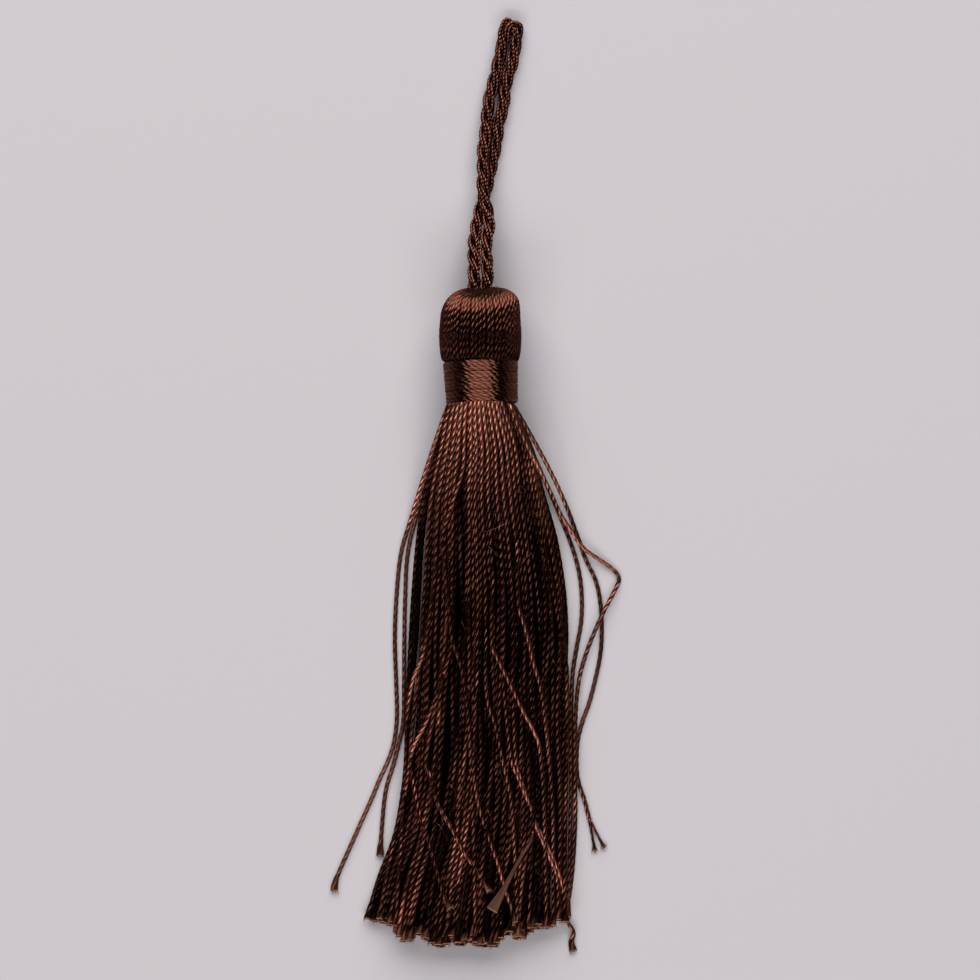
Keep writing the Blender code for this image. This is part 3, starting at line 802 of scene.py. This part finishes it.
def makeSkirt(material, taken):
    # drift and lean to one side, rise and fall, and height above the place, in mm
    lie = {
        "deep": {"drift": 0.26, "lean": 0.5, "fall": 0.08, "above": 0.0},
        "top": {"drift": 0.34, "lean": 0.9, "fall": 0.17, "above": 0.0},
        "stray": {"drift": 0.70, "lean": 2.2, "fall": 0.32, "above": 0.30},
    }
    shadeMiddle, shadeWide = skirt["shadeSide"]
    yarns, ends = [], []
    for side, rise in ringPlaces(skirt["pitch"]):
        lock = int(np.argmin(np.abs(lockSides - side)))
        arch = skirt["hemRise"] * abs(side) ** skirt["hemCurve"]
        hemY = skirt["hemY"] + arch + lockLengths[lock] + dice.normal(0, skirt["endUneven"])
        y = np.linspace(skirt["rootY"], hemY, 240)
        x, z, loose = bundlePath(side, rise, y)
        # how many yarns lie on top of this one. The crossing yarns' places are left free
        layers = (math.sqrt(max(0.0, 1 - side * side)) - rise) / skirt["pitch"]
        if layers < 0.3 and min(abs(side - place) for place in taken) < 0.45 * skirt["pitch"]:
            continue
        kind = "deep"
        if layers < skirt["topLayers"]:
            kind = "stray" if dice.random() < skirt["strays"] else "top"
        own = lie[kind]
        leaned = smoothStep((skirt["rootY"] - y) / skirt["leanLength"])
        x = x + wander(y, own["drift"], 22, 46) + dice.normal(0, 0.5) * own["lean"] * mm * leaned
        left, right, _, _ = skirtSection(y)
        x = np.clip(x, left + yarn["radius"] * 0.6, right - yarn["radius"] * 0.6)
        z = z + wander(y, own["fall"], 9, 22) + own["above"] * mm * loose
        path = np.column_stack([x, y, np.maximum(z, yarn["radius"])])
        hidden = layers >= skirt["seenLayers"] and (abs(side) <= 0.85 or rise <= -0.35)
        # painted shade on the yarns left of the middle
        shaded = skirt["middleShade"] * math.exp(-((side - shadeMiddle) / shadeWide) ** 2)
        tone = dice.normal(*skirt["tone"]) + lockTones[lock] - shaded
        tone = float(np.clip(tone, *skirt["toneLimits"]))
        part = yarnTube(path, tone, "hidden" if hidden else "pressed",
                        skirt["cutLength"], openness=dice.uniform(0.5, 1.1), wobble=0.5)
        yarns.append((side, part))
        ends.append(cutEnd(path, tone, hidden, 12))
    # pieces of neighbouring yarns, from left to right
    yarns.sort(key=lambda row: row[0])
    group, size, number = [], 0, 1
    for _, part in yarns:
        triangles = 2 * len(part["quads"])
        if size + triangles > skirt["trianglesEach"]:
            buildPiece(f"skirt_yarns_{number}", group, material)
            group, size, number = [], 0, number + 1
        group.append(part)
        size += triangles
    buildPiece(f"skirt_yarns_{number}", group, material)
    print(f"skirt: {len(yarns)} yarns")
    return ends


# yarns that lie apart from the bundle, on the routes of the solids

# where each is rooted in the neck, then x, y and the height of its underside, in mm
looseYarns = {
    "leftLong": {"root": (-0.96, -0.1), "rows": (
        (-3.7, 24.4, 4.2), (-5.9, 18.0, 1.9), (-7.75, 12.1, 0.25), (-8.9, 8.0, 0),
        (-9.42, 2.8, 0), (-9.6, -2.0, 0), (-9.45, -6.6, 0), (-9.35, -11.0, 0),
        (-9.7, -14.0, 0), (-10.4, -16.2, 0), (-11.4, -18.4, 0), (-12.3, -20.6, 0),
        (-14.4, -25.3, 0), (-16.45, -30.0, 0), (-16.75, -31.5, 0))},
    "leftShort": {"root": (-0.9, -0.36), "rows": (
        (-3.45, 24.4, 2.85), (-5.4, 18.0, 1.0), (-7.05, 12.6, 0.08), (-8.1, 8.0, 0),
        (-8.38, 2.8, 0), (-8.48, -2.0, 0), (-8.52, -7.8, 0), (-8.6, -11.6, 0),
        (-9.15, -14.2, 0), (-9.8, -16.8, 0), (-10.45, -18.8, 0), (-10.85, -21.0, 0),
        (-11.2, -25.0, 0), (-11.35, -27.4, 0))},
    "rightOuter": {"root": (0.96, 0.1), "rows": (
        (4.95, 24.4, 4.3), (7.95, 19.1, 2.4), (10.25, 14.4, 0.55), (12.0, 9.8, 0),
        (12.85, 7.4, 0), (13.95, 5.1, 0), (14.5, 2.7, 0), (14.72, -0.8, 0),
        (14.45, -4.3, 0), (13.35, -9.0, 0), (12.45, -11.6, 0), (11.85, -14.2, 0),
        (11.85, -18.0, 0), (12.7, -20.9, 0), (13.3, -23.2, 0), (14.45, -26.6, 0)),
        "opensAt": 3.4},
    "rightKinked": {"root": (0.84, 0.5), "rows": (
        (4.3, 24.4, 6.35), (6.3, 20.0, 5.6), (8.3, 16.0, 3.9), (9.7, 13.0, 1.9),
        (11.05, 10.9, 1.1), (12.45, 8.9, 0.62), (14.5, 7.4, 0.23), (15.9, 6.4, 0),
        (16.62, 5.6, 0), (16.68, 4.8, 0), (15.75, 2.9, 0.35), (14.7, 0.9, 0.62),
        (13.45, -2.0, 0.4), (12.55, -4.6, 0.14), (11.95, -7.2, 0.4),
        (11.62, -11.2, 0.62), (11.58, -18.5, 0.62), (11.6, -22.8, 0.1),
        (11.35, -28.0, 0), (10.9, -32.0, 0), (10.35, -34.2, 0.3), (10.8, -35.3, 0.3),
        (11.4, -36.3, 0.2), (11.15, -37.5, 0), (11.35, -38.6, 0))},
    "rightInner": {"root": (0.88, -0.3), "rows": (
        (4.66, 24.4, 3.4), (7.45, 18.0, 1.2), (9.7, 12.8, 0.08), (11.05, 9.4, 0),
        (11.95, 6.4, 0), (12.35, 3.4, 0), (12.3, 0.2, 0), (11.75, -3.0, 0),
        (11.25, -6.6, 0), (11.12, -12.0, 0), (11.12, -18.0, 0), (11.02, -24.0, 0),
        (10.9, -29.5, 0), (10.68, -34.6, 0))},
}


def makeLooseYarns(material):
    root = {"radius": 3.4, "y": 26.2}
    # an end that has come untwisted into two, which stand apart
    halves = {"gap": 0.09, "opening": 0.50, "curve": 1.3, "radius": 0.18 * mm, "cut": 0.9 * mm}
    level = yarn["radius"] / mm
    parts, ends = [], []
    for row in looseYarns.values():
        side, rise = row["root"]
        points = [(neckAxis["x"] / mm + root["radius"] * side, root["y"],
                   neckAxis["z"] / mm + root["radius"] * rise)]
        points += [(x, y, level + underside) for x, y, underside in row["rows"]]
        path = smoothRoute(np.array(points) * mm)
        tone = dice.uniform(0.45, 0.8)
        if "opensAt" not in row:
            parts.append(yarnTube(path, tone, "open", skirt["cutLength"]))
            ends.append(cutEnd(path, tone))
            continue
        run = alongLength(path)
        opened = run > run[-1] - row["opensAt"] * mm
        parts.append(yarnTube(path[~opened], tone, "open"))
        branch = path[np.argmax(opened) - 1:]
        across = unit(np.cross(branch[-1] - branch[0], (0, 0, 1)))
        share = np.linspace(0, 1, len(branch))[:, None]
        apart = halves["gap"] + halves["opening"] * share ** halves["curve"]
        for way in (-1, 1):
            half = branch + across * way * apart * mm
            parts.append(yarnTube(half, tone, "open", halves["cut"], radius=halves["radius"]))
            ends.append(cutEnd(half, tone, back=4))
    buildPiece("loose_yarns", parts, material)
    return ends


# yarns that lie across the bundle's top: where each leaves its place among the others,
# and its route after that as x and y, in mm
crossing = {
    "upperLeft": {"leaves": 14.0, "rows": (
        (-3.92, 10.4), (-3.69, 7.4), (-3.49, 4.5), (-3.1, 1.6), (-2.75, -1.9), (-1.73, -5.1),
        (-1.0, -10.0), (-0.6, -17.0), (-0.3, -26.0), (-0.1, -37.2))},
    "thinDiagonal": {"leaves": -8.0, "rows": (
        (-5.85, -15.6), (-5.44, -17.8), (-4.62, -20.8), (-2.77, -24.0), (-1.35, -26.7),
        (0.29, -29.2), (1.53, -31.2))},
    "leftDiagonal": {"leaves": -6.0, "rows": (
        (-7.69, -14.8), (-7.08, -20.5), (-6.26, -23.4), (-5.44, -25.7), (-4.62, -28.7),
        (-3.8, -31.6), (-2.98, -33.2))},
    "middleDiagonal": {"leaves": -9.0, "rows": (
        (-0.32, -15.4), (-0.11, -18.9), (0.5, -21.9), (1.53, -25.0), (2.52, -27.9),
        (3.33, -30.8), (4.15, -33.2), (4.62, -34.9))},
    "rightDiagonal": {"leaves": -8.0, "rows": (
        (3.99, -15.2), (4.81, -17.7), (6.03, -20.7), (6.84, -23.0), (8.08, -25.5),
        (9.3, -28.3), (10.12, -31.2), (10.1, -34.0))},
    "rightPair": {"leaves": -8.0, "rows": (
        (4.55, -15.2), (5.3, -18.2), (6.4, -21.6), (7.1, -24.0), (8.5, -27.2),
        (9.45, -30.0), (9.6, -34.8))},
    "longDiagonal": {"leaves": 2.0, "rows": (
        (1.78, -1.9), (2.36, -3.7), (3.1, -5.2), (4.27, -7.6), (5.44, -10.1), (6.84, -12.8),
        (7.43, -15.0), (7.9, -22.0), (8.2, -35.6))},
    "rightUpper": {"leaves": 7.0, "rows": (
        (4.86, 2.6), (5.29, 0.8), (5.87, -1.1), (6.61, -4.3), (7.55, -7.8), (8.3, -14.0),
        (8.9, -22.0), (9.0, -35.4))},
    "middleShort": {"leaves": -4.0, "rows": (
        (1.19, -8.1), (2.16, -11.6), (3.1, -16.0), (4.2, -22.0), (4.9, -36.6))},
    "leftOutward": {"leaves": 2.0, "rows": (
        (-6.03, -2.7), (-7.43, -6.6), (-8.1, -11.0), (-8.4, -18.0), (-9.4, -35.4))},
    "leftLower": {"leaves": -6.0, "rows": (
        (-5.44, -10.5), (-7.43, -14.6), (-8.3, -19.5), (-9.8, -26.0), (-11.4, -34.6))},
}


def crossingPlace(row):
    # its place in the neck is the one whose route comes nearest to where it leaves
    sides = np.linspace(-0.9, 0.9, 181)
    left, right, _, _ = skirtSection(np.array([row["leaves"] * mm]))
    at = (left + right) / 2 + ((right - left) / 2 - yarn["radius"]) * sides
    return float(sides[np.argmin(np.abs(at - row["rows"][0][0] * mm))])


def spreadPlaces():
    # no two crossing yarns share a place in the neck
    places = {name: crossingPlace(row) for name, row in crossing.items()}
    order = sorted(places, key=places.get)
    outermost = 0.93
    for _ in range(30):
        for a, b in zip(order, order[1:]):
            lack = skirt["pitch"] * 0.95 - (places[b] - places[a])
            if lack > 0:
                places[a] -= lack / 2
                places[b] += lack / 2
        for name in places:
            places[name] = min(outermost, max(-outermost, places[name]))
    return places


def makeCrossingYarns(material, places):
    over = {
        "lift": 0.34 * mm,       # above the bundle's top
        "rises": 5 * mm,         # it begins to rise this far before it leaves its place
        "riseLength": 6 * mm,
        "fall": 0.12, "radius": 0.25 * mm, "tone": 0.75, "endTone": 0.85,
    }
    parts, ends = [], []
    for name, row in crossing.items():
        side = places[name]
        rise = math.sqrt(1 - side * side)
        points = []
        for y in np.arange(skirt["rootY"] / mm, row["leaves"] + 1, -3.0):
            x, z, _ = bundlePath(side, rise, np.array([y * mm]))
            points.append((x[0], y * mm, z[0]))
        for x, y in row["rows"]:
            points.append((x * mm, y * mm, topHeight(x * mm, y * mm) + over["lift"]))
        path = smoothRoute(points)
        # keeps it on top of the bundle between the chosen points
        y = path[:, 1]
        away = smoothStep((row["leaves"] * mm + over["rises"] - y) / over["riseLength"])
        top = topHeight(path[:, 0], y) + over["lift"] + wander(y, over["fall"], 9, 16)
        path[:, 2] = path[:, 2] * (1 - away) + top * away
        parts.append(yarnTube(path, over["tone"], "pressed", skirt["cutLength"],
                              radius=over["radius"], openness=0.5, wobble=0.5))
        ends.append(cutEnd(path, over["endTone"]))
    buildPiece("crossing_yarns", parts, material)
    return ends


def makeTurnedEnd(material):
    # a flattened end that has untwisted and lies turned back over the others, as a flat fan
    fan = {"lift": 0.62 * mm, "thick": 0.13, "tone": 0.8, "paleFrom": 0.25, "paler": 0.2}
    # x, y and half the fan's width, in mm
    rows = ((6.60, -24.2, 0.14), (6.20, -25.6, 0.18), (5.55, -26.6, 0.20), (4.60, -28.2, 0.24),
            (3.70, -29.9, 0.32), (2.80, -31.6, 0.48), (1.75, -33.4, 0.74))
    points = [(x * mm, y * mm, topHeight(x * mm, y * mm) + fan["lift"]) for x, y, _ in rows]
    path = smoothRoute(points)
    share = np.linspace(0, 1, len(path))
    halves = np.interp(share, np.linspace(0, 1, len(rows)), [half for _, _, half in rows])
    part = tube(path, (0, 0, 1), mm, *roundSection(18), np.full(len(path), 0.25), fan["tone"],
                fan["paleFrom"] + fan["paler"] * share, halves,
                flat=fan["thick"] / np.maximum(halves, fan["thick"]))
    buildPiece("turned_end", [part], material)


# cut ends: each yarn opens into a small brush of fibres


def fibre(start, run, length, bend, width, tone, tipStart=0.6):
    # a thin tapering tube with five rings of four points
    share = np.linspace(0, 1, 5)
    steps = share[:, None]
    path = start + run * length * steps + bend * length * steps**2
    path[:, 2] = np.maximum(path[:, 2], width)
    side = (0, 0, 1) if abs(run[2]) < 0.9 else (1, 0, 0)
    return tube(path, side, width, *roundSection(4), np.zeros(5), tone,
                tipStart + (1 - tipStart) * share, 1 - 0.7 * share)


def makeCutEnds(ends, material):
    brush = {
        "fibres": 8, "hiddenFibres": 3, "width": 0.036 * mm,
        "length": (0.25, 0.75),   # in mm
        "across": 0.40 * mm,      # they start this far to each side of the yarn's middle
        "inside": 0.30 * mm,      # and this far back in it
        "height": 0.08 * mm, "spread": 0.30,
    }
    parts = []
    for end, run, tone, hidden in ends:
        across = unit(np.cross(run, (0, 0, 1)))
        for _ in range(brush["hiddenFibres"] if hidden else brush["fibres"]):
            sideways = dice.uniform(-1, 1)
            start = end + across * sideways * brush["across"] - run * brush["inside"]
            start[2] = max(start[2] + dice.uniform(-1, 1) * brush["height"], brush["width"])
            way = unit(run + across * brush["spread"] * sideways)
            bend = brush["spread"] * dice.normal(0, 0.35, 3)
            length = dice.uniform(*brush["length"]) * mm
            parts.append(fibre(start, way, length, bend, brush["width"], tone))
    buildPiece("cut_ends", parts, material)


def makeStrayFibres(material):
    # single fibres that have worked loose and curl above the skirt
    stray = {
        "count": 44,
        "places": (-34, 22),      # along y, in mm, as are the next two
        "length": (1.2, 3.2),
        "lift": (0.1, 0.5),
        "width": 0.016 * mm, "curl": np.array((0.5, 0.5, 0.15)), "tone": 0.8, "paleFrom": 0.9,
    }
    parts = []
    for _ in range(stray["count"]):
        y = dice.uniform(*stray["places"]) * mm
        left, right, _, _ = skirtSection(np.array([y]))
        x = dice.uniform(left[0], right[0]) * 0.9
        z = topHeight(x, y) + dice.uniform(*stray["lift"]) * mm
        way = unit(np.array([dice.normal(0, 0.7), -1.0, dice.uniform(-0.1, 0.25)]))
        bend = dice.normal(0, 1, 3) * stray["curl"]
        length = dice.uniform(*stray["length"]) * mm
        parts.append(fibre(np.array([x, y, z]), way, length, bend, stray["width"],
                           stray["tone"], stray["paleFrom"]))
    buildPiece("stray_fibres", parts, material)


# floor and light


def makeFloor():
    floorLook = {"colour": (0.205, 0.192, 0.200, 1), "half": 1.2, "roughness": 0.9,
                 "gloss": 0.1, "z": -0.02 * mm}
    bpy.ops.mesh.primitive_plane_add(size=2 * floorLook["half"], location=(0, 0, floorLook["z"]))
    floor = bpy.context.object
    floor.name = "floor"
    material = bpy.data.materials.new("paleFloor")
    material.use_nodes = True
    shader = material.node_tree.nodes["Principled BSDF"]
    shader.inputs["Base Color"].default_value = floorLook["colour"]
    shader.inputs["Roughness"].default_value = floorLook["roughness"]
    shader.inputs["Specular IOR Level"].default_value = floorLook["gloss"]
    floor.data.materials.append(material)


def makeLights():
    # soft lamps: place, size across and along, and power, all aimed at the middle
    lights = {
        "loopSide": {"at": (-0.04, 0.71, 0.55), "size": (1.25, 0.80), "power": 32.2},
        "hemSide": {"at": (-0.04, -0.65, 0.63), "size": (1.25, 0.30), "power": 16.0},
        "hemHigh": {"at": (0.0, -0.33, 0.84), "size": (1.20, 0.16), "power": 2.2},
    }
    room = {"colour": (0.95, 0.96, 1.0, 1), "strength": 0.012}
    for name, row in lights.items():
        data = bpy.data.lights.new(name, "AREA")
        data.shape = "RECTANGLE"
        data.size, data.size_y = row["size"]
        data.energy = row["power"]
        lamp = addObject(name, data)
        lamp.location = row["at"]
        lamp.rotation_euler = (-Vector(row["at"])).to_track_quat("-Z", "Y").to_euler()
    world = bpy.data.worlds.new("studio")
    bpy.context.scene.world = world
    world.use_nodes = True
    background = world.node_tree.nodes["Background"]
    background.inputs["Color"].default_value = room["colour"]
    background.inputs["Strength"].default_value = room["strength"]
    bpy.context.scene.view_settings.view_transform = "Standard"
    print("floor and lights ready")


makeCamera()
materials = makeMaterials()
makeLoop(materials["loopRope"])
makeHead(materials["headYarn"])
makeCore(materials["shadedCore"])
makeBinding(materials["bindingYarn"])
crossingPlaces = spreadPlaces()
cutEnds = makeSkirt(materials["skirtYarn"], list(crossingPlaces.values()))
cutEnds += makeLooseYarns(materials["looseYarn"])
cutEnds += makeCrossingYarns(materials["crossingYarn"], crossingPlaces)
makeTurnedEnd(materials["fannedYarn"])
makeCutEnds(cutEnds, materials["skirtYarn"])
makeStrayFibres(materials["looseYarn"])
makeFloor()
makeLights()
